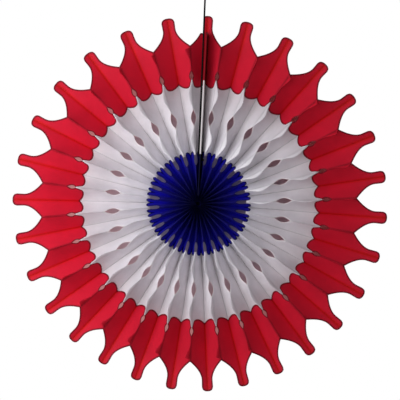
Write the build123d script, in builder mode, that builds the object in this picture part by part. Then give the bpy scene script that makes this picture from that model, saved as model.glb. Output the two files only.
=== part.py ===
from build123d import *
from math import cos, degrees, pi, radians, sin, sqrt, tan
import os

# Paper fan rosette, hung by a cord, in millimetres.
# The fan stands in the XZ plane about the Y axis and faces -Y. Its seam is at the top, on +Z.
# Die-cut leaves of tissue join in zigzag: each petal's middle line is a back fold, and the line
# between two petals is a front fold, where the margins of two leaves stand up as a fin.

# Driving sizes of the fan
PETALS = 29
HUB_RADIUS = 4.0
HUB_CREASE = 22.0
TIP_DEPTH = 15.0
SHEET = 0.25
# The petals stand closer at the bottom than at the top, by this swing of their angle in degrees
BUNCHING = 5.3
# The two leaves at the seam are narrower than the others, each by this angle in degrees
SQUEEZE = 1.15

# The blue's fingers, and how far back from their tips its cuts and the white's inner edge lie
BLUE_TIP_RADIUS = 95.5
CLEFT_LENGTH = 10.0
SLOT_LENGTH = 26.5
SLOT_DEPTH = 14.0
WHITE_INNER_LAP = 7.5
FINGER_ANGLES = (0, 60, 120)
FINGER_FALL = 0.25

# The red's lobes, which lie on the front of the white
RED_LOBE_RADIUS = 209.5
RED_LOBE_WIDTH = 18.0
RED_CUSP_RISE = 5.0
WHITE_OUTER_LAP = 16.0
LOBE_ANGLES = (-90, -20, 45, 90)

# Eyes cut across the front folds, with depths measured across one flat leaf
RED_EYE_START = 13.5
RED_EYE_LENGTH = 18.0
RED_EYE_DEPTH = 5.6
RED_SPIKE_DEPTH = 0.8
WHITE_EYE_START = 53.0
WHITE_EYE_LENGTH = 29.0
WHITE_EYE_DEPTH = 11.6
EYE_STEPS = 3

# The petals' ends, outward from the red's lobes, with widths measured across one flat leaf
NOTCH_LENGTH = 78.0
NECK_LENGTH = 34.5
NECK_WIDTH = 12.8
TIP_LENGTH = 21.0
TIP_ROUNDING = 12.0
TIP_ANGLES = (20, 50, 90)
TIP_FULLNESS = (0.5, 0.7)
FLANK_HOLLOW = 1.45
FLANK_STEPS = 3

# How far a trimming outline passes beyond the folds
TRIM_MARGIN = 4.0

# Fins on the front folds between the eyes, with an edge that bulges forward
FIN_BULGE = 6.0
FIN_GAP = 1.5
FIN_STEPS = 3
FIN_MARGIN = 1.0

# End cards
CARD = 0.9
CARD_MARGIN = 2.0
CARD_SETBACK = 34.0
CARD_CORNER = 6.0
HOLE_CLEARANCE = 0.3
# The leaves beside the cards start where their folds are this many card thicknesses apart
SEAM_ROOM = 1.6

# Cord, from the stopper knot beside the right-hand card, through both cards, to the upper knot
CORD = 3.2
CORD_ROUTE = [Vector(3.9, -13.0, 80.6), Vector(-3.0, -13.0, 88.0), Vector(-5.6, -13.0, 382.0)]
BEND_SHARE = 0.45
STOPPER_KNOT = (4.8, 2.8)
UPPER_KNOT = (7.0, 8.0)
KNOT_SHOULDER = 0.2

MEAN_PITCH = 2 * pi / PETALS

# Radii worked out from the driving sizes
WHITE_INNER_RADIUS = BLUE_TIP_RADIUS - WHITE_INNER_LAP
WHITE_OUTER_RADIUS = RED_LOBE_RADIUS + WHITE_OUTER_LAP
WHITE_EYE = [WHITE_INNER_RADIUS + WHITE_EYE_START + end for end in (0, WHITE_EYE_LENGTH)]
RED_EYE = [RED_LOBE_RADIUS + RED_EYE_START + end for end in (0, RED_EYE_LENGTH)]
NOTCH_RADIUS = RED_LOBE_RADIUS + NOTCH_LENGTH
NECK_RADIUS = NOTCH_RADIUS + NECK_LENGTH
TIP_RADIUS = NECK_RADIUS + TIP_LENGTH
CARD_RADIUS = TIP_RADIUS - CARD_SETBACK
RED_FIN = (RED_EYE[1] + FIN_GAP, NOTCH_RADIUS - FIN_GAP)
INNER_WHITE_FIN = (BLUE_TIP_RADIUS + FIN_GAP, WHITE_EYE[0] - FIN_GAP)
OUTER_WHITE_FIN = (WHITE_EYE[1] + FIN_GAP, RED_EYE[0] - FIN_GAP)

# Each leaf is as wide as keeps the zigzag's depth at the tips
LEAF_WIDTH = sqrt((TIP_RADIUS * sin(MEAN_PITCH / 2)) ** 2 + TIP_DEPTH**2)

# The radii of the creases across the leaves, where two colours lap and at the petals' notches
BLUE_LAP = WHITE_INNER_RADIUS - SHEET
RED_LAP = RED_LOBE_RADIUS - SHEET
CREASES = [HUB_RADIUS, HUB_CREASE, BLUE_LAP, RED_LAP, NOTCH_RADIUS, TIP_RADIUS + SHEET]


def front_fold(k):
    """The angle from the top, clockwise, of the front fold before petal k, in radians."""
    share = (k - 0.5) * MEAN_PITCH
    return share + radians(BUNCHING) * sin(share) + radians(SQUEEZE) * (share / pi - 1)


def between(values, s):
    """The value at radius s, on straight lines between those given at the creases."""
    for inner, outer, one, two in zip(CREASES, CREASES[1:], values, values[1:]):
        if s <= outer:
            return one + (two - one) * (s - inner) / (outer - inner)


def zigzag(s):
    """Half the depth of the zigzag, for leaves of LEAF_WIDTH opened by the mean pitch."""
    halves = [sqrt(LEAF_WIDTH**2 - (r * sin(MEAN_PITCH / 2)) ** 2) / 2 for r in CREASES]
    return between(halves, s)


def sheet_depth(s):
    """How deep one sheet is, from front to back, where it slants from fold to fold."""
    return between([SHEET * LEAF_WIDTH / (r * sin(MEAN_PITCH / 2)) for r in CREASES], s)


def flat_face(points):
    """A flat face round the given points."""
    return Face(Wire.make_polygon(points))


class Petal:
    """A petal's leaves with its back fold on +Z: a right-hand one, mirrored for the left-hand one."""

    def __init__(self, left, right, inset=0.0):
        self.half = (right - left) / 2
        self.turn = Location((0, 0, 0), (0, degrees(left + right) / 2, 0))
        # The leaves of the top petal stand beside the end cards
        self.inset = inset
        self.start = max(HUB_RADIUS, SEAM_ROOM * inset / sin(self.half))

    def plan(self, across, s):
        """A point of the leaf seen from the front, where across runs from 0 to LEAF_WIDTH."""
        share = across / LEAF_WIDTH
        x = s * sin(self.half * share) + self.inset * (1 - share)
        return (x, s * cos(self.half * share))

    def surface(self, radii, layer):
        """Fold points of one of the surfaces stacked from front (0) to back (2)."""
        back, front = [], []
        for s in radii:
            level = layer * sheet_depth(s)
            back.append(Vector(self.inset, zigzag(s) - sheet_depth(s) + level, s))
            x, z = self.plan(LEAF_WIDTH, s)
            front.append(Vector(x, -zigzag(s) + level, z))
        return back, front

    def panel(self, radii, layer):
        """The creased panel between the folds, one sheet thick, in front (0) or behind (1)."""
        sheets = [self.surface(radii, layer), self.surface(radii, layer + 1)]
        faces = []
        for back, front in sheets:
            for i in range(len(radii) - 1):
                faces.append(flat_face([back[i], front[i], front[i + 1]]))
                faces.append(flat_face([back[i], front[i + 1], back[i + 1]]))
        rims = [back + front[::-1] for back, front in sheets]
        corners = list(zip(*rims))
        for (one, two), (three, four) in zip(corners, corners[1:] + corners[:1]):
            faces.append(flat_face([one, three, four, two]))
        add(Solid(Shell(faces)))

    def trim(self, outline):
        """Trims the leaf in hand to its outline, seen from the front."""
        with BuildSketch(Plane.XZ) as shape:
            with BuildLine():
                Polyline(*[self.plan(across, s) for across, s in outline], close=True)
            make_face()
        extrude(shape.sketch, amount=LEAF_WIDTH, both=True, mode=Mode.INTERSECT)

    def fin(self, start, end, layer):
        """The glued margin on the front fold, between two radii, with a bulging front edge."""
        outline = [(start, layer + 1, 0.0), (end, layer + 1, 0.0)]
        for i in range(FIN_STEPS, -1, -1):
            s = start + (end - start) * i / FIN_STEPS
            outline.append((s, layer, FIN_MARGIN + FIN_BULGE * sin(pi * i / FIN_STEPS)))
        points = []
        for s, level, ahead in outline:
            x, z = self.plan(LEAF_WIDTH, s)
            points.append(Vector(x, -zigzag(s) + level * sheet_depth(s) - ahead, z))
        extrude(flat_face(points), SHEET, dir=(-cos(self.half), 0, sin(self.half)))


def petal_end():
    """Points of a petal's outer end, from the notch on the front fold to the tip."""
    points = []
    for i in range(FLANK_STEPS + 1):
        share = 1 - i / FLANK_STEPS
        across = NECK_WIDTH + (LEAF_WIDTH - NECK_WIDTH) * share**FLANK_HOLLOW
        points.append((across, NECK_RADIUS - NECK_LENGTH * share))
    # The tip is a full curve, flatter than a half circle
    across_power, rise_power = TIP_FULLNESS
    for angle in TIP_ANGLES:
        swing = cos(radians(angle)) ** across_power
        rise = sin(radians(angle)) ** rise_power
        points.append((NECK_WIDTH * swing, TIP_RADIUS - TIP_ROUNDING * (1 - rise)))
    return points


def eye_edge(reach, deep):
    """Points of half an eye on the front fold, from its outer end to its inner end."""
    start, end = reach
    shares = [i / EYE_STEPS for i in range(1, EYE_STEPS)]
    return [(LEAF_WIDTH - deep * sin(pi * x), end - (end - start) * x) for x in shares]


def lobe_edge():
    """Points of the red's lobe over the white, from the back fold to the front fold."""
    points = []
    for angle in LOBE_ANGLES:
        side = RED_LOBE_WIDTH
        end = RED_LOBE_RADIUS + RED_CUSP_RISE
        if angle > 0:
            side = LEAF_WIDTH - RED_SPIKE_DEPTH - RED_LOBE_WIDTH
            end = RED_EYE[0]
        rise = (end - RED_LOBE_RADIUS) * (1 - cos(radians(angle)))
        points.append((RED_LOBE_WIDTH + side * sin(radians(angle)), RED_LOBE_RADIUS + rise))
    return points


def red_outline():
    """The red sheet: lobe, eye, front fold and petal's end."""
    eye = eye_edge(RED_EYE, RED_EYE_DEPTH)
    return [*lobe_edge(), *reversed(eye), (LEAF_WIDTH, RED_EYE[1]), *petal_end()]


def white_outline():
    """The white sheet, between the blue and the red, with its eye on the front fold."""
    eye = eye_edge(WHITE_EYE, WHITE_EYE_DEPTH)
    outer = [(0, WHITE_OUTER_RADIUS), (LEAF_WIDTH, WHITE_OUTER_RADIUS)]
    inner = [(LEAF_WIDTH, WHITE_INNER_RADIUS), (0, WHITE_INNER_RADIUS)]
    return [*outer, (LEAF_WIDTH, WHITE_EYE[1]), *eye, (LEAF_WIDTH, WHITE_EYE[0]), *inner]


def blue_outline(start):
    """The blue sheet: a rounded finger between the cleft on the back fold and the slot."""
    slot = LEAF_WIDTH - SLOT_DEPTH
    beyond = LEAF_WIDTH + TRIM_MARGIN
    inner = start - 2 * SHEET
    slot_end = BLUE_TIP_RADIUS - SLOT_LENGTH
    points = [(-TRIM_MARGIN, inner), (beyond, inner), (beyond, slot_end)]
    points.append((slot, slot_end + SLOT_DEPTH * FINGER_FALL))
    for angle in FINGER_ANGLES:
        swing = 1 + cos(radians(angle))
        fall = slot * FINGER_FALL * (1 - sin(radians(angle)))
        points.append((slot / 2 * swing, BLUE_TIP_RADIUS - fall))
    points.append((0, BLUE_TIP_RADIUS - CLEFT_LENGTH))
    return points


def red_leaf(petal):
    """The red sheet of a right-hand leaf, with its fin."""
    with BuildPart() as sheet:
        petal.panel([RED_LAP, NOTCH_RADIUS, TIP_RADIUS + SHEET], 0)
        petal.trim(red_outline())
        petal.fin(*RED_FIN, 0)
    return sheet.part


def white_leaf(petal):
    """The white sheet of a right-hand leaf, behind the red and the blue, with its two fins."""
    with BuildPart() as sheet:
        petal.panel([BLUE_LAP, RED_LAP, NOTCH_RADIUS], 1)
        petal.trim(white_outline())
        petal.fin(*INNER_WHITE_FIN, 1)
        petal.fin(*OUTER_WHITE_FIN, 1)
    return sheet.part


def blue_leaf(petal):
    """The blue sheet of a right-hand leaf."""
    with BuildPart() as sheet:
        petal.panel([petal.start, HUB_CREASE, BLUE_LAP, RED_LAP], 0)
        petal.trim(blue_outline(petal.start))
    return sheet.part


# The seam parts the two leaves of the first petal
seam_petal = Petal(-front_fold(1), front_fold(1), CARD)
petals = [seam_petal] + [Petal(front_fold(k), front_fold(k + 1)) for k in range(1, PETALS)]


def every_leaf(leaf):
    """The leaf made by the given function, on both sides of every petal."""
    leaves = []
    for petal in petals:
        right = leaf(petal)
        leaves += [petal.turn * right, petal.turn * right.mirror(Plane.YZ)]
    return leaves


with BuildPart() as red_tissue:
    add(every_leaf(red_leaf))
    # The left-hand leaf at the seam ends with its card
    with Locations((0, 0, CARD_RADIUS)):
        Box(
            LEAF_WIDTH,
            2 * LEAF_WIDTH,
            TIP_RADIUS,
            align=(Align.MAX, Align.CENTER, Align.MIN),
            mode=Mode.SUBTRACT,
        )

with BuildPart() as white_tissue:
    add(every_leaf(white_leaf))

with BuildPart() as blue_tissue:
    add(every_leaf(blue_leaf))

# The cord's bend, and the slot punched for it in both cards, wide enough for the cord but not for
# its knot: from the start of the bend to where the cord leaves the right-hand card
lower, corner, upper = CORD_ROUTE
turn = (corner - lower).get_angle(upper - corner)
bend_start = BEND_SHARE * min((corner - lower).length, (upper - corner).length)
bend_radius = bend_start / tan(radians(turn / 2))
slope = (corner.Z - lower.Z) / (lower.X - corner.X)
slot_top = corner.Z + bend_start
slot_end = corner.Z - slope * (CARD - corner.X) - CORD / 2 * sqrt(1 + slope**2) - HOLE_CLEARANCE

# The two end cards stand face to face in the seam
card_start = seam_petal.start
card_width = LEAF_WIDTH + 2 * CARD_MARGIN


def end_card(side):
    """One end card, outward from the seam to the side given."""
    with BuildPart() as card:
        with BuildSketch(Plane.YZ):
            with Locations((0, card_start)):
                Rectangle(card_width, CARD_RADIUS - card_start, align=(Align.CENTER, Align.MIN))
            with Locations((corner.Y, (slot_top + slot_end) / 2)):
                SlotOverall(
                    slot_top - slot_end, CORD + 2 * HOLE_CLEARANCE, rotation=90, mode=Mode.SUBTRACT
                )
        extrude(amount=side * CARD)
        fillet(card.edges().filter_by(Axis.X).group_by(Axis.Z)[-1], CARD_CORNER)
    return card


left_card = end_card(-1)
right_card = end_card(1)

print("cord radius", round(bend_radius, 1))

with BuildPart() as hanging_cord:
    with BuildLine() as cord_line:
        FilletPolyline(*CORD_ROUTE, radius=bend_radius)
    path = cord_line.wires()[0]
    with BuildSketch(Plane(origin=path @ 0, z_dir=path % 0)):
        Circle(CORD / 2)
    sweep()
whole = pi * (CORD / 2) ** 2 * path.length
print("cord volume", round(hanging_cord.part.volume, 1), "of", round(whole, 1))


def knot(end, away, width, length):
    """A knot at one end of the cord: a short barrel with sloped shoulders."""
    with BuildPart() as barrel:
        with BuildSketch(Plane(origin=end, z_dir=away)):
            Circle(width / 2)
        extrude(amount=length)
        chamfer(barrel.edges().filter_by(GeomType.CIRCLE), length * KNOT_SHOULDER)
    return barrel


stopper_knot = knot(lower, lower - corner, *STOPPER_KNOT)
upper_knot = knot(upper, upper - corner, *UPPER_KNOT)

pieces = {
    "red_tissue": red_tissue,
    "white_tissue": white_tissue,
    "blue_tissue": blue_tissue,
    "left_card": left_card,
    "right_card": right_card,
    "hanging_cord": hanging_cord,
    "stopper_knot": stopper_knot,
    "upper_knot": upper_knot,
}
os.makedirs("parts", exist_ok=True)
for name, piece in pieces.items():
    piece.part.label = name
    export_step(piece.part, f"parts/{name}.step")
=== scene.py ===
from math import cos, pi, radians, sin, sqrt

import bmesh
import bpy
from mathutils import Matrix, Vector
from mathutils.kdtree import KDTree


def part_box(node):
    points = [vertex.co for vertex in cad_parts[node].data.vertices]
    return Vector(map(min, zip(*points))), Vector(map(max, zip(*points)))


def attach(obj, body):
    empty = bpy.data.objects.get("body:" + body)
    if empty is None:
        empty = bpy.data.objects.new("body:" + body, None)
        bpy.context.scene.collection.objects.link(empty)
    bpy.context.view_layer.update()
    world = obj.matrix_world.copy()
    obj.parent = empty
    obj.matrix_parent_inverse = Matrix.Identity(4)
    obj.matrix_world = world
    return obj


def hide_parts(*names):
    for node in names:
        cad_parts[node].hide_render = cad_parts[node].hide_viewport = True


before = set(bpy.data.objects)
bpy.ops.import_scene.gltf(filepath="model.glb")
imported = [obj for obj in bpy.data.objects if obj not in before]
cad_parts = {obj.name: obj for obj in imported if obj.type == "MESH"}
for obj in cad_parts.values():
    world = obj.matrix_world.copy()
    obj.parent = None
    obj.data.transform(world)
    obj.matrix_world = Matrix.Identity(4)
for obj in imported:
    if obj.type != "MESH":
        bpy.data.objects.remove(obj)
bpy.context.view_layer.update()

# Sizes in metres. The fan stands in the XZ plane about the Y axis and faces -Y, its seam on +Z.
PETALS = 29
PITCH = 2 * pi / PETALS
LEAF_WIDTH = 0.040
TISSUE = 0.00022
LAYER = 0.00025
LAYER_LIMIT_RADIUS = 0.02
LEAF_BOW = 0.0011
FULL_BOW_RADIUS = 0.2
CARD = 0.0009
CARD_RADIUS = 0.309
CARD_BARE_END = 0.003
SEAM_CLOSING = 0.0015
SEAM_TIP_LEFT = -0.0072
SEAM_TIP_START = CARD_RADIUS + 0.002

# The petals stand closer at the bottom than at the top, and the two leaves at the seam are narrower
BUNCHING = radians(5.28)
SQUEEZE = radians(1.15)

# The red leaf, from its tip inward
TIP_RADIUS = 0.343
TIP_SHOULDER = 0.3345
TIP_ROUNDING = 2.2
NECK_RADIUS = 0.322
NECK_WIDTH = 0.0122
NOTCH_RADIUS = 0.2868
FLANK_HOLLOW = 1.9
RED_EYE = (0.2235, 0.2395)
RED_EYE_DEPTH = 0.0048
RED_SPIKE_RADIUS = 0.2245
RED_SPIKE_DEPTH = 0.0016
RED_CUSP_RADIUS = 0.2192
RED_LOBE_RADIUS = 0.2102
LOBE_MIDDLE = 0.024
LOBE_BACK_SLOPE = 1.85
LOBE_FRONT_ROUNDING = 2.8

# The white leaf
WHITE_OUTER_RADIUS = 0.2255
WHITE_INNER_RADIUS = 0.088
WHITE_EYE = (0.141, 0.170)
WHITE_EYE_DEPTH = 0.0116
EYE_SHARPNESS = 1.1

# The blue leaf, from its fingers inward
BLUE_TIP_RADIUS = 0.0955
FINGER_RADIUS = 0.0905
FINGER_ROUNDING = 2.2
BLUE_CLEFT_RADIUS = 0.0852
SLOT_RADIUS = 0.0695
SLOT_MIDDLE = 0.0785
SLOT_DEPTH = 0.0142
SLOT_MOUTH = 0.0108
HUB_RADIUS = 0.0042
HUB_ROWS = 12
HUB_ROW_SPACING = 1.3

# The fins are the glued margins on the front folds: start, end, height and where they are highest
RED_FINS = [(0.2405, 0.2862, 0.0125, 0.84)]
WHITE_FINS = [(0.0925, 0.139, 0.0085, 0.5), (0.172, 0.2215, 0.0082, 0.5)]
RED_FIN_SHARPNESS = 5
WHITE_FIN_SHARPNESS = 1.5
FIN_FOOT = 0.0009
FIN_FOOT_LEAN = 0.75
FIN_RIPPLE = 0.16
FIN_RIPPLE_SHIFT = 2.6
FIN_RIPPLE_RUN = 55
FIN_ROOM = 0.0002
# How far the fins lean, clockwise positive, in degrees: by angle round the fan from the top
RED_LEAN = [
    (0, 4), (16, 4), (30, 26), (70, 26), (95, 0), (150, 0), (170, 42), (222, 42),
    (245, 0), (300, 0), (322, -16), (340, -20), (352, -45), (360, -45),
]
WHITE_LEAN = [
    (0, 62), (75, 50), (95, 4), (120, 4), (140, 40), (235, 34), (262, 2), (300, 2),
    (322, -48), (360, -50),
]

# The sheets' map runs across each leaf in X, one leaf a step further on, and by radius in Y
MAP_STEP = 0.1
FIN_MAP_WIDTH = 0.008
EDGE_REACH = 0.006
WELD = 0.00001
SHARP_FOLD = radians(14)


def fold_angle(k):
    """Angle from the top, clockwise, of the back fold k, or of the front fold at k + 0.5."""
    share = k * PITCH
    return share + BUNCHING * sin(share) + SQUEEZE * (share / pi - 1)


def half_depth(r):
    """Half the depth of the zigzag at radius r."""
    return sqrt(LEAF_WIDTH ** 2 - (r * sin(PITCH / 2)) ** 2) / 2


def layer_depth(r):
    """How far back one layer lies behind another where it slants from fold to fold."""
    return LAYER * LEAF_WIDTH / (max(r, LAYER_LIMIT_RADIUS) * sin(PITCH / 2))


class Leaf:
    """One leaf of the fan, from its back fold to its front fold."""

    def __init__(self, back, front, seam_side=0):
        self.back = back
        self.front = front
        self.inset = CARD * seam_side
        self.seam_side = seam_side

    def point(self, across, r, layer=0):
        """Where a spot of the flat leaf comes to lie; beyond the cards the seam closes."""
        share = across / LEAF_WIDTH
        angle = self.back + (self.front - self.back) * share
        bow = LEAF_BOW * sin(pi * share) * min(1.0, r / FULL_BOW_RADIUS)
        y = half_depth(r) * (1 - 2 * share) + layer * layer_depth(r) + bow
        beyond = min(1.0, max(0.0, (r - CARD_RADIUS) / SEAM_CLOSING))
        x = r * sin(angle) + self.inset * (1 - share) * (1 - beyond)
        return Vector((x, y, r * cos(angle)))


leaves = [Leaf(0, fold_angle(0.5), seam_side=1)]
for k in range(1, PETALS):
    leaves.append(Leaf(fold_angle(k), fold_angle(k - 0.5)))
    leaves.append(Leaf(fold_angle(k), fold_angle(k + 0.5)))
leaves.append(Leaf(2 * pi, fold_angle(PETALS - 0.5), seam_side=-1))


def mix(a, b, share):
    return a + (b - a) * share


def leaf_rows(start, end, count):
    """Rows of a leaf's grid at even radii, without the first."""
    return [("leaf", mix(start, end, i / count)) for i in range(1, count + 1)]


def shaped_rows(band, count, first=1):
    """Rows of a leaf's shaped end, by share of the way to its outline."""
    return [(band, i / count) for i in range(first, count + 1)]


def eye_width(r, reach, deep):
    """Width of a leaf at radius r, cut back beside an eye on its front fold."""
    share = (r - reach[0]) / (reach[1] - reach[0])
    if 0 < share < 1:
        return LEAF_WIDTH - deep * sin(pi * share) ** EYE_SHARPNESS
    return LEAF_WIDTH


def lobe_radius(across):
    """The red's inner edge: a lobe between the cusp on the back fold and the spike in front."""
    if across < LOBE_MIDDLE:
        share = 1 - across / LOBE_MIDDLE
        return mix(RED_LOBE_RADIUS, RED_CUSP_RADIUS, share ** LOBE_BACK_SLOPE)
    share = (across - LOBE_MIDDLE) / (LEAF_WIDTH - RED_SPIKE_DEPTH - LOBE_MIDDLE)
    rise = 1 - max(0.0, 1 - share ** LOBE_FRONT_ROUNDING) ** 0.5
    return mix(RED_LOBE_RADIUS, RED_SPIKE_RADIUS, rise)


def red_rows():
    rows = shaped_rows("lobe", 8, first=0)
    rows += leaf_rows(RED_SPIKE_RADIUS, RED_EYE[1], 9)
    rows += leaf_rows(RED_EYE[1], NOTCH_RADIUS, 10)
    rows += leaf_rows(NOTCH_RADIUS, NECK_RADIUS, 16)
    rows += shaped_rows("tip", 10)
    return rows


def red_place(t, band, value):
    """Where on the flat red leaf a spot of its grid lies: across from the back fold, and radius."""
    if band == "lobe":
        width = LEAF_WIDTH - RED_SPIKE_DEPTH * (1 - value)
        across = t * width
        return across, mix(lobe_radius(across), RED_SPIKE_RADIUS, value)
    if band == "leaf":
        width = eye_width(value, RED_EYE, RED_EYE_DEPTH)
        if value > NOTCH_RADIUS:
            share = 1 - (value - NOTCH_RADIUS) / (NECK_RADIUS - NOTCH_RADIUS)
            width = mix(NECK_WIDTH, LEAF_WIDTH, share ** FLANK_HOLLOW)
        return t * width, value
    across = t * NECK_WIDTH
    end = mix(TIP_SHOULDER, TIP_RADIUS, (1 - min(1.0, t) ** TIP_ROUNDING) ** 0.5)
    return across, mix(NECK_RADIUS, end, value)


def white_rows():
    rows = [("leaf", WHITE_INNER_RADIUS)]
    rows += leaf_rows(WHITE_INNER_RADIUS, WHITE_EYE[0], 9)
    rows += leaf_rows(WHITE_EYE[0], WHITE_EYE[1], 12)
    rows += leaf_rows(WHITE_EYE[1], WHITE_OUTER_RADIUS, 9)
    return rows


def white_place(t, band, value):
    return t * eye_width(value, WHITE_EYE, WHITE_EYE_DEPTH), value


def blue_rows():
    rows = []
    for i in range(HUB_ROWS + 1):
        share = (i / HUB_ROWS) ** HUB_ROW_SPACING
        rows.append(("leaf", mix(HUB_RADIUS, SLOT_RADIUS, share)))
    rows += leaf_rows(SLOT_RADIUS, FINGER_RADIUS, 12)
    rows += shaped_rows("finger", 8)
    return rows


def slot_depth(r):
    """How far an oval slot on the front fold cuts into a leaf at radius r."""
    share = (r - SLOT_RADIUS) / (SLOT_MIDDLE - SLOT_RADIUS)
    if share < 1:
        return SLOT_DEPTH * sqrt(max(0.0, share * (2 - share)))
    share = min(1.0, (r - SLOT_MIDDLE) / (FINGER_RADIUS - SLOT_MIDDLE))
    return mix(SLOT_DEPTH, SLOT_MOUTH, share * share * (3 - 2 * share))


def blue_place(t, band, value):
    if band == "leaf":
        return t * (LEAF_WIDTH - slot_depth(value)), value
    across = t * (LEAF_WIDTH - SLOT_MOUTH)
    off = 2 * t - 1
    foot = BLUE_CLEFT_RADIUS if off < 0 else FINGER_RADIUS
    end = mix(foot, BLUE_TIP_RADIUS, sqrt(max(0.0, 1 - abs(off) ** FINGER_ROUNDING)))
    return across, mix(FINGER_RADIUS, end, value)


def trim_seam_tip(part):
    """Cut off what would stand out to the left of the cord, beyond the end of the cards."""
    for point, normal in (
        ((SEAM_TIP_LEFT, 0, 0), (1, 0, 0)),
        ((0, 0, SEAM_TIP_START), (0, 0, 1)),
    ):
        geom = part.verts[:] + part.edges[:] + part.faces[:]
        bmesh.ops.bisect_plane(part, geom=geom, plane_co=point, plane_no=normal)
    spare = []
    for face in part.faces:
        middle = face.calc_center_median()
        if middle.x < SEAM_TIP_LEFT and middle.z > SEAM_TIP_START:
            spare.append(face)
    bmesh.ops.delete(part, geom=spare, context="FACES")


def add_part(bm, part):
    """Add a leaf or a fin to its sheet."""
    mesh = bpy.data.meshes.new("part")
    part.to_mesh(mesh)
    part.free()
    bm.from_mesh(mesh)
    bpy.data.meshes.remove(mesh)


def mark_edges(bm):
    """Stores at each vertex how far it lies from the nearest cut edge, up to EDGE_REACH."""
    rims = [edge for edge in bm.edges if len(edge.link_faces) == 1]
    spots = []
    for edge in rims:
        one, two = edge.verts
        spots += [one.co, (one.co + two.co) / 2, two.co]
    tree = KDTree(len(spots))
    for i, spot in enumerate(spots):
        tree.insert(spot, i)
    tree.balance()
    layer = bm.verts.layers.float.new("edge")
    for vert in bm.verts:
        vert[layer] = min(EDGE_REACH, tree.find(vert.co)[2])


def tissue(rows, place, layer, columns):
    """A creased sheet over all the leaves, each one a grid bent to its place."""
    bm = bmesh.new()
    bm.loops.layers.uv.new("leaf")
    for number, leaf in enumerate(leaves):
        part = bmesh.new()
        leaf_map = part.loops.layers.uv.new("leaf")
        bmesh.ops.create_grid(part, x_segments=columns, y_segments=len(rows) - 1, size=0.5)
        flat = {}
        for vert in part.verts:
            t = vert.co.x + 0.5
            band, value = rows[round((vert.co.y + 0.5) * (len(rows) - 1))]
            flat[vert] = place(t, band, value)
        for face in part.faces:
            for loop in face.loops:
                across, r = flat[loop.vert]
                loop[leaf_map].uv = (across + number * MAP_STEP, r)
        for vert, (across, r) in flat.items():
            vert.co = leaf.point(across, r, layer)
        if leaf.seam_side < 0:
            trim_seam_tip(part)
        if leaf.front < leaf.back:
            bmesh.ops.reverse_faces(part, faces=part.faces[:])
        add_part(bm, part)
    bmesh.ops.remove_doubles(bm, verts=bm.verts[:], dist=WELD)
    for edge in bm.edges:
        if len(edge.link_faces) == 2:
            one, two = edge.link_faces
            edge.smooth = one.normal.angle(two.normal, 0) < SHARP_FOLD
    for face in bm.faces:
        face.smooth = True
    mark_edges(bm)
    return bm


def fin_lean(table, angle):
    """How far the fin on a front fold leans over at this angle, clockwise positive."""
    degrees = angle * 180 / pi
    for (a, one), (b, two) in zip(table, table[1:]):
        if degrees <= b:
            return radians(mix(one, two, (degrees - a) / (b - a)))
    return 0.0


def fin_height(t, share, bulge, peak, sharpness, k):
    """Height of a spot of fin k: t goes from its foot to its rim, share from start to end."""
    rise = share / peak / 2 if share < peak else 1 - (1 - share) / (1 - peak) / 2
    height = t * (FIN_FOOT + bulge * sin(pi * rise) ** sharpness)
    ripple = FIN_RIPPLE * sin(FIN_RIPPLE_SHIFT * k + FIN_RIPPLE_RUN * share)
    return height * (1 + ripple * share * (1 - share) * 4)


def add_fins(bm, fins, layer, table, sharpness):
    """Stand a sheet's fins on its front folds."""
    for k in range(PETALS):
        angle = fold_angle(k + 0.5)
        lean = fin_lean(table, angle)
        for start, end, bulge, peak in fins:
            part = bmesh.new()
            fin_map = part.loops.layers.uv.new("leaf")
            edge = part.verts.layers.float.new("edge")
            bmesh.ops.create_grid(part, x_segments=4, y_segments=20, size=0.5)
            for face in part.faces:
                face.smooth = True
                for loop in face.loops:
                    t, share = loop.vert.co.x + 0.5, loop.vert.co.y + 0.5
                    across = LEAF_WIDTH + t * FIN_MAP_WIDTH + k * 2 * MAP_STEP
                    loop[fin_map].uv = (across, mix(start, end, share))
            for vert in part.verts:
                vert[edge] = EDGE_REACH
                t, share = vert.co.x + 0.5, vert.co.y + 0.5
                r = mix(start, end, share)
                height = fin_height(t, share, bulge, peak, sharpness, k)
                swing = lean * mix(FIN_FOOT_LEAN, 1, t)
                side = height * sin(swing)
                x = r * sin(angle) + side * cos(angle)
                y = -half_depth(r) + layer * layer_depth(r) + FIN_ROOM - height * cos(swing)
                vert.co = (x, y, r * cos(angle) - side * sin(angle))
            add_part(bm, part)


def finish_tissue(name, bm, node, material):
    mesh = bpy.data.meshes.new(name)
    bm.to_mesh(mesh)
    bm.free()
    piece = bpy.data.objects.new(name, mesh)
    bpy.context.scene.collection.objects.link(piece)
    wall = piece.modifiers.new("sheet thickness", "SOLIDIFY")
    wall.thickness = TISSUE
    wall.offset = 0
    mesh.materials.append(material)
    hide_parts(node)
    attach(piece, "root")


# What the materials are made of. Each function adds a node and gives its result.
COLOUR_A, COLOUR_B, COLOUR_MIXED = 6, 7, 2


def remapped(tree, value, low, high, start=0, end=1, smooth=False):
    """A value mapped from low to high onto start to end."""
    ramp = tree.nodes.new("ShaderNodeMapRange")
    if smooth:
        ramp.interpolation_type = "SMOOTHSTEP"
    ramp.inputs["From Min"].default_value = low
    ramp.inputs["From Max"].default_value = high
    ramp.inputs["To Min"].default_value = start
    ramp.inputs["To Max"].default_value = end
    tree.links.new(value, ramp.inputs["Value"])
    return ramp.outputs["Result"]


def computed(tree, operation, one, two=None):
    """A value worked out from one value, or from one and another value or number."""
    step = tree.nodes.new("ShaderNodeMath")
    step.operation = operation
    tree.links.new(one, step.inputs[0])
    if isinstance(two, float):
        step.inputs[1].default_value = two
    elif two is not None:
        tree.links.new(two, step.inputs[1])
    return step.outputs["Value"]


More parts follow.
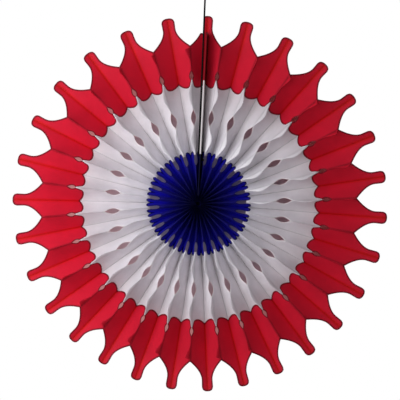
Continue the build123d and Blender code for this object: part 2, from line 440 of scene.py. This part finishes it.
def blended(tree, share, one, two):
    """A colour that goes from one to the other by the share; each is fixed or a result."""
    blend = tree.nodes.new("ShaderNodeMix")
    blend.data_type = "RGBA"
    for socket, colour in ((COLOUR_A, one), (COLOUR_B, two)):
        if isinstance(colour, tuple):
            blend.inputs[socket].default_value = (*colour, 1)
        else:
            tree.links.new(colour, blend.inputs[socket])
    tree.links.new(share, blend.inputs["Factor"])
    return blend.outputs[COLOUR_MIXED]


def toned(tree, colour, tone):
    """A colour multiplied by a tone."""
    tint = tree.nodes.new("ShaderNodeMix")
    tint.data_type = "RGBA"
    tint.blend_type = "MULTIPLY"
    tint.inputs["Factor"].default_value = 1
    if isinstance(colour, tuple):
        tint.inputs[COLOUR_A].default_value = (*colour, 1)
    else:
        tree.links.new(colour, tint.inputs[COLOUR_A])
    tree.links.new(tone, tint.inputs[COLOUR_B])
    return tint.outputs[COLOUR_MIXED]


def grain(tree, spots, scale, detail, roughness=0.5):
    """An even grain over the piece."""
    noise = tree.nodes.new("ShaderNodeTexNoise")
    noise.inputs["Scale"].default_value = scale
    noise.inputs["Detail"].default_value = detail
    noise.inputs["Roughness"].default_value = roughness
    tree.links.new(spots, noise.inputs["Vector"])
    return noise.outputs["Fac"]


def raised(tree, height, strength, distance):
    """Surface directions over a relief of the given height."""
    bump = tree.nodes.new("ShaderNodeBump")
    bump.inputs["Strength"].default_value = strength
    bump.inputs["Distance"].default_value = distance
    tree.links.new(height, bump.inputs["Height"])
    return bump.outputs["Normal"]


def object_spots(tree):
    return tree.nodes.new("ShaderNodeTexCoord").outputs["Object"]


def seen_rays(tree):
    """1 where the camera looks, also by way of a gloss or through a clear layer, else 0."""
    path = tree.nodes.new("ShaderNodeLightPath")
    ray = path.outputs["Is Camera Ray"]
    for kind in ("Is Glossy Ray", "Is Transmission Ray"):
        ray = computed(tree, "MAXIMUM", ray, path.outputs[kind])
    return ray


def empty_material(name):
    material = bpy.data.materials.new(name)
    material.use_nodes = True
    material.node_tree.nodes.clear()
    return material


# How far the tones of folds and cut edges reach on the tissue: full, and none. The back-fold tones
# are painted light and shade of the valley.
PAINTED_VALLEY_START = 0.0004
BACK_SHADE_LINE = (0.0006, 0.0022)
FRONT_LINE = (0.0008, 0.0045)
CUT_EDGE = (0.0015, 0.0042)
CLOUD_SCALE = 26
CLOUD_TONES = (0.3, 0.7, 0.93, 1.05)
CRINKLE_SCALE = 260
CRINKLE_HEIGHT = 0.0006


def tissue_material(name, colour, spread, thin, fold, edge_colour, shade_and_line_tones, crinkle, sheen):
    """Matte tissue that lets some light through, with painted light and shade along its back folds, a
    darker line on its front folds and tones on its cut edges.
    """
    painted_valley_colour, painted_valley_width = fold
    back_shade_tone, front_tone = shade_and_line_tones
    inner_radius, inner_tone, outer_radius, outer_tone = spread
    material = empty_material(name)
    tree = material.node_tree
    nodes, links = tree.nodes, tree.links
    spots = object_spots(tree)
    uv = nodes.new("ShaderNodeUVMap")
    uv.uv_map = "leaf"
    split = nodes.new("ShaderNodeSeparateXYZ")
    links.new(uv.outputs["UV"], split.inputs["Vector"])
    across = computed(tree, "MODULO", split.outputs["X"], MAP_STEP)

    # The sheet's colour: painted light in the back-fold valley of the white and blue, painted shade
    # in the red's, tones from the hub outward, and faint clouds
    painted_valley_mask = remapped(tree, across, PAINTED_VALLEY_START, painted_valley_width, 1, 0, smooth=True)
    outward = remapped(tree, split.outputs["Y"], inner_radius, outer_radius)
    sheet = blended(tree, painted_valley_mask, colour, painted_valley_colour)
    sheet = toned(tree, sheet, blended(tree, outward, inner_tone, outer_tone))
    clouds = grain(tree, spots, CLOUD_SCALE, 3)
    sheet = toned(tree, sheet, remapped(tree, clouds, *CLOUD_TONES))

    # Thin darker lines: painted shade along the back fold, and a darker line on the glued front fold
    back_shade_line = remapped(tree, across, *BACK_SHADE_LINE, back_shade_tone)
    off_front = computed(tree, "SUBTRACT", across, LEAF_WIDTH)
    off_front = computed(tree, "ABSOLUTE", off_front)
    front_line = remapped(tree, off_front, *FRONT_LINE, front_tone)
    sheet = toned(tree, sheet, computed(tree, "MULTIPLY", back_shade_line, front_line))

    # The cut edges, by the distance stored at each vertex
    edge = nodes.new("ShaderNodeAttribute")
    edge.attribute_name = "edge"
    rim = remapped(tree, edge.outputs["Fac"], *CUT_EDGE, 1, 0, smooth=True)
    sheet = blended(tree, rim, sheet, edge_colour)
    creases = grain(tree, spots, CRINKLE_SCALE, 6, 0.6)
    relief = raised(tree, creases, crinkle, CRINKLE_HEIGHT)

    paper = nodes.new("ShaderNodeBsdfPrincipled")
    paper.inputs["Roughness"].default_value = 0.7
    paper.inputs["Specular IOR Level"].default_value = sheen
    glow = nodes.new("ShaderNodeBsdfTranslucent")
    both = nodes.new("ShaderNodeMixShader")
    both.inputs["Fac"].default_value = thin
    out = nodes.new("ShaderNodeOutputMaterial")
    links.new(sheet, paper.inputs["Base Color"])
    links.new(sheet, glow.inputs["Color"])
    links.new(relief, paper.inputs["Normal"])
    links.new(relief, glow.inputs["Normal"])
    links.new(paper.outputs["BSDF"], both.inputs[1])
    links.new(glow.outputs["BSDF"], both.inputs[2])
    links.new(both.outputs["Shader"], out.inputs["Surface"])
    return material


# Tones by radius: inner radius and tone, outer radius and tone. The blue's darker hub is painted
# shade of its deep folds.
EVEN = (0.2, (1, 1, 1), 0.3, (1, 1, 1))
PINKER_OUTSIDE = (WHITE_INNER_RADIUS, (1, 1, 1), RED_LOBE_RADIUS, (0.83, 0.8, 0.81))
PAINTED_HUB_SHADE = (0.012, (0.45, 0.45, 0.42), 0.062, (1, 1, 1))
red_tissue = tissue_material(
    "red tissue",
    colour=(0.71, 0.007, 0.036),
    spread=EVEN,
    thin=0.25,
    # a darker, deeper red along the back fold: painted valley shade
    fold=((0.68, 0.001, 0.005), 0.0062),
    edge_colour=(0.23, 0.001, 0.012),
    # first: painted shade along the back fold; second: the front fold line
    shade_and_line_tones=(0.86, 0.66),
    crinkle=0.3,
    sheen=0.3,
)
white_tissue = tissue_material(
    "white tissue",
    colour=(0.95, 0.93, 0.98),
    spread=PINKER_OUTSIDE,
    thin=0.2,
    # a lighter white towards the back fold: painted valley light
    fold=((0.99, 0.97, 1), 0.03),
    edge_colour=(0.86, 0.8, 0.83),
    # first: painted shade along the back fold; second: the front fold line
    shade_and_line_tones=(0.86, 0.93),
    crinkle=0.3,
    sheen=0.1,
)
blue_tissue = tissue_material(
    "blue tissue",
    colour=(0.012, 0.01, 0.28),
    # darker towards the hub: painted shade
    spread=PAINTED_HUB_SHADE,
    thin=0.2,
    # a far lighter blue towards the back fold than at the front fold: painted valley light
    fold=((0.034, 0.024, 0.85), 0.032),
    edge_colour=(0.013, 0.008, 0.16),
    shade_and_line_tones=(1, 1),
    crinkle=0.2,
    sheen=0.2,
)

red = tissue(red_rows(), red_place, layer=0, columns=8)
add_fins(red, RED_FINS, 0, RED_LEAN, RED_FIN_SHARPNESS)
finish_tissue("red_tissue_sheets", red, "red_tissue", red_tissue)
white = tissue(white_rows(), white_place, layer=1, columns=7)
add_fins(white, WHITE_FINS, 1, WHITE_LEAN, WHITE_FIN_SHARPNESS)
finish_tissue("white_tissue_sheets", white, "white_tissue", white_tissue)
blue = tissue(blue_rows(), blue_place, layer=0, columns=7)
finish_tissue("blue_tissue_sheets", blue, "blue_tissue", blue_tissue)


def banded(tree, value, bands, interpolation):
    """A colour by the value, from a table of starts and colours."""
    table = tree.nodes.new("ShaderNodeValToRGB")
    table.color_ramp.interpolation = interpolation
    stops = table.color_ramp.elements
    stops.remove(stops[1])
    for i, (start, colour) in enumerate(bands):
        stop = stops[0] if i == 0 else stops.new(start)
        stop.position = start
        stop.color = (*colour, 1)
    tree.links.new(value, table.inputs["Fac"])
    return table.outputs["Color"]


def grained_material(name, colour, rough, scale, strength, distance):
    """A matte finish with a fine grain. The colour is fixed, or a table of bands by height."""
    material = bpy.data.materials.new(name)
    material.use_nodes = True
    tree = material.node_tree
    spots = object_spots(tree)
    if isinstance(colour, list):
        height = tree.nodes.new("ShaderNodeSeparateXYZ")
        tree.links.new(spots, height.inputs["Vector"])
        colour = banded(tree, height.outputs["Z"], colour, "CONSTANT")
    fine = grain(tree, spots, scale, 5)
    relief = raised(tree, fine, strength, distance)
    paper = tree.nodes["Principled BSDF"]
    paper.inputs["Roughness"].default_value = rough
    paper.inputs["Specular IOR Level"].default_value = 0.1
    surface = toned(tree, colour, remapped(tree, fine, 0, 1, 0.82, 1.12))
    tree.links.new(surface, paper.inputs["Base Color"])
    tree.links.new(relief, paper.inputs["Normal"])
    return material


# The cards are covered by the end leaves: blue, then white, then red, bare at their outer end. The
# blue and red bands are painted much darker than their tissue, as painted shade.
CARD_BANDS_WITH_SHADE = [
    (0.0, (0.002, 0.002, 0.02)),
    (WHITE_INNER_RADIUS, (0.8, 0.76, 0.77)),
    (RED_CUSP_RADIUS, (0.32, 0.01, 0.02)),
    (CARD_RADIUS - CARD_BARE_END, (0.20, 0.17, 0.16)),
]
covered_card = grained_material("tissue covered card", CARD_BANDS_WITH_SHADE, 0.85, 900, 0.25, 0.0002)
for side in ("left_card", "right_card"):
    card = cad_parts[side]
    card.data.materials.clear()
    card.data.materials.append(covered_card)

# The hanging cord, from its stopper knot up to its upper knot
CORD = 0.0032
STOPPER_CORD = 0.0017
KNOT_POINTS = 24
CORD_ROUTE = [
    (0.0039, -0.013, 0.0806),
    (-0.0030, -0.013, 0.0880),
    (-0.00309, -0.013, 0.0981),
    (-0.00543, -0.013, 0.3628),
    (-0.0056, -0.013, 0.3820),
]
cord_thread = grained_material("black cord", (0.003, 0.003, 0.0035), 0.95, 2200, 0.6, 0.0003)


def round_line(name, thickness, places, steps, closed):
    """A smooth round line of cord along the given places."""
    line = bpy.data.curves.new(name, "CURVE")
    line.dimensions = "3D"
    line.bevel_depth = thickness / 2
    line.bevel_resolution = 4
    line.resolution_u = steps
    line.use_fill_caps = not closed
    spline = line.splines.new("NURBS")
    spline.points.add(len(places) - 1)
    for spot, place in zip(spline.points, places):
        spot.co = (*place, 1)
    spline.order_u = 3
    spline.use_endpoint_u = not closed
    spline.use_cyclic_u = closed
    line.materials.append(cord_thread)
    piece = bpy.data.objects.new(name, line)
    bpy.context.scene.collection.objects.link(piece)
    return piece


def knot(name, node, thickness):
    """A tied knot: the cord led three times round itself, drawn tight."""
    low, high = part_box(node)
    centre = (Vector(low) + Vector(high)) / 2
    wide, deep, tall = [(b - a - thickness) / 2 for a, b in zip(low, high)]
    places = []
    for i in range(KNOT_POINTS):
        a = 2 * pi * i / KNOT_POINTS
        x = centre.x + wide * (sin(a) + 2 * sin(2 * a)) / 3
        y = centre.y + deep * (cos(a) - 2 * cos(2 * a)) / 3
        places.append((x, y, centre.z - tall * sin(3 * a)))
    piece = round_line(name, thickness, places, steps=8, closed=True)
    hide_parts(node)
    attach(piece, "root")
    return piece


cord = round_line("hanging_cord_line", CORD, CORD_ROUTE, steps=24, closed=False)
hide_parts("hanging_cord")
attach(cord, "root")
stopper = knot("stopper_knot_tie", "stopper_knot", STOPPER_CORD)
upper = knot("upper_knot_tie", "upper_knot", CORD)

# Stage: a wall close behind the fan, with painted shade and painted light behind the fan and white
# away from it, and a pale floor far below
WALL_BEHIND = 0.036
WALL_HALF = 1.6
FLOOR_HALF = 3.0
FLOOR_HEIGHT = -1.0
# Painted shade and tinted light on the wall by radius from the fan's middle, as it shows through the
# eyes and slots: near black at the hub, mauve and pink further out
WALL_PAINTED_SHADE_AND_LIGHT = [
    (0.03, (0.004, 0.004, 0.01)),
    (0.062, (0.36, 0.34, 0.6)),
    (0.095, (0.6, 0.52, 0.7)),
    (0.15, (0.95, 0.7, 0.77)),
    (0.2, (1, 0.62, 0.66)),
    (0.235, (1, 0.5, 0.5)),
]
WHITE_WALL = (0.262, 0.278)
# Painted light on the wall: a faint glow, stronger towards the lower left and behind the red
PAINTED_LIGHT_SIDE = (-0.85, 0, -0.5)
PAINTED_LIGHT_REACH = 0.17
PAINTED_LIGHT_STRENGTH = 0.16
PAINTED_LIGHT_OUTSIDE = (0.19, 0.23, 1, 2.2)


def wall_material():
    """Painted shade and painted light where it shows through the fan, white round it, and clear from
    behind.
    """
    material = empty_material("stage wall")
    tree = material.node_tree
    nodes, links = tree.nodes, tree.links
    spots = object_spots(tree)
    flat = nodes.new("ShaderNodeVectorMath")
    flat.operation = "MULTIPLY"
    flat.inputs[1].default_value = (1, 0, 1)
    links.new(spots, flat.inputs[0])
    far = nodes.new("ShaderNodeVectorMath")
    far.operation = "LENGTH"
    links.new(flat.outputs[0], far.inputs[0])
    radius = far.outputs["Value"]
    slant = nodes.new("ShaderNodeVectorMath")
    slant.operation = "DOT_PRODUCT"
    slant.inputs[1].default_value = PAINTED_LIGHT_SIDE
    links.new(spots, slant.inputs[0])

    # painted shade and tinted light behind the fan, by radius
    painted_wall_light_and_shade = banded(tree, radius, WALL_PAINTED_SHADE_AND_LIGHT, "LINEAR")
    outside = remapped(tree, radius, *WHITE_WALL, smooth=True)
    # painted light: a faint glow shown to the camera
    glow = remapped(tree, slant.outputs["Value"], -PAINTED_LIGHT_REACH, PAINTED_LIGHT_REACH, 0, PAINTED_LIGHT_STRENGTH)
    glow = computed(tree, "MULTIPLY", glow, remapped(tree, radius, *PAINTED_LIGHT_OUTSIDE))
    glow = computed(tree, "MAXIMUM", glow, outside)

    matte = nodes.new("ShaderNodeBsdfDiffuse")
    bright = nodes.new("ShaderNodeEmission")
    clear = nodes.new("ShaderNodeBsdfTransparent")
    front = nodes.new("ShaderNodeMixShader")
    sides = nodes.new("ShaderNodeMixShader")
    facing = nodes.new("ShaderNodeNewGeometry")
    out = nodes.new("ShaderNodeOutputMaterial")
    links.new(painted_wall_light_and_shade, matte.inputs["Color"])
    links.new(blended(tree, outside, painted_wall_light_and_shade, (1, 1, 1)), bright.inputs["Color"])
    links.new(computed(tree, "MULTIPLY", glow, seen_rays(tree)), front.inputs["Fac"])
    links.new(matte.outputs["BSDF"], front.inputs[1])
    links.new(bright.outputs["Emission"], front.inputs[2])
    links.new(facing.outputs["Backfacing"], sides.inputs["Fac"])
    links.new(front.outputs["Shader"], sides.inputs[1])
    links.new(clear.outputs["BSDF"], sides.inputs[2])
    links.new(sides.outputs["Shader"], out.inputs["Surface"])
    return material


def stage_plane(name, half, matrix, material):
    bm = bmesh.new()
    bmesh.ops.create_grid(bm, x_segments=1, y_segments=1, size=half, matrix=matrix)
    mesh = bpy.data.meshes.new(name)
    bm.to_mesh(mesh)
    bm.free()
    mesh.materials.append(material)
    plane = bpy.data.objects.new(name, mesh)
    bpy.context.scene.collection.objects.link(plane)


upright = Matrix.Translation((0, WALL_BEHIND, 0)) @ Matrix.Rotation(radians(90), 4, "X")
stage_plane("stage_wall", WALL_HALF, upright, wall_material())
floor_paint = bpy.data.materials.new("stage floor")
floor_paint.use_nodes = True
floor_paint.node_tree.nodes["Principled BSDF"].inputs["Base Color"].default_value = (0.8, 0.8, 0.8, 1)
stage_plane("stage_floor", FLOOR_HALF, Matrix.Translation((0, 0, FLOOR_HEIGHT)), floor_paint)

# Light: a large soft lamp and a smaller one, both from the left, and a pale room
ROOM_LIGHT = 0.25
LAMPS = [
    ("soft lamp", 0.8, 4.3, (-0.38, -0.66, 0.12)),
    ("near lamp", 0.5, 1.3, (-0.46, -0.45, -0.08)),
]
world = bpy.data.worlds.new("pale room")
bpy.context.scene.world = world
world.use_nodes = True
room = world.node_tree
sky = room.nodes["Background"]
sky.inputs["Color"].default_value = (1, 1, 1, 1)
room.links.new(remapped(room, seen_rays(room), 0, 1, ROOM_LIGHT, 1.0), sky.inputs["Strength"])

for name, size, energy, place in LAMPS:
    lamp_data = bpy.data.lights.new(name, "AREA")
    lamp_data.shape = "SQUARE"
    lamp_data.size = size
    lamp_data.energy = energy
    lamp = bpy.data.objects.new(name, lamp_data)
    lamp.location = place
    lamp.rotation_euler = (Vector((0, 0, 0)) - lamp.location).to_track_quat("-Z", "Y").to_euler()
    lamp.visible_camera = False
    bpy.context.scene.collection.objects.link(lamp)

# Camera: a little to the right of the fan's axis, rolled as the photograph is
DISTANCE = 2.4
TURN = radians(3.2)
ROLL = radians(2.85)
PIXEL = 0.00182
PHOTO_WIDTH = 400
AIM_RIGHT, AIM_UP = 1.5, 3.65
SENSOR = 36
aim = Vector((AIM_RIGHT * PIXEL, 0, AIM_UP * PIXEL))
back = Vector((sin(TURN), -cos(TURN), 0))
camera_data = bpy.data.cameras.new("camera")
camera_data.sensor_width = SENSOR
camera_data.lens = SENSOR * DISTANCE / (PHOTO_WIDTH * PIXEL)
camera = bpy.data.objects.new("camera", camera_data)
bpy.context.scene.collection.objects.link(camera)
camera.location = aim + back * DISTANCE
look = (-back).to_track_quat("-Z", "Y").to_matrix()
camera.rotation_euler = (look @ Matrix.Rotation(ROLL, 3, "Z")).to_euler()
bpy.context.scene.camera = camera

bpy.context.scene.view_settings.view_transform = "Standard"
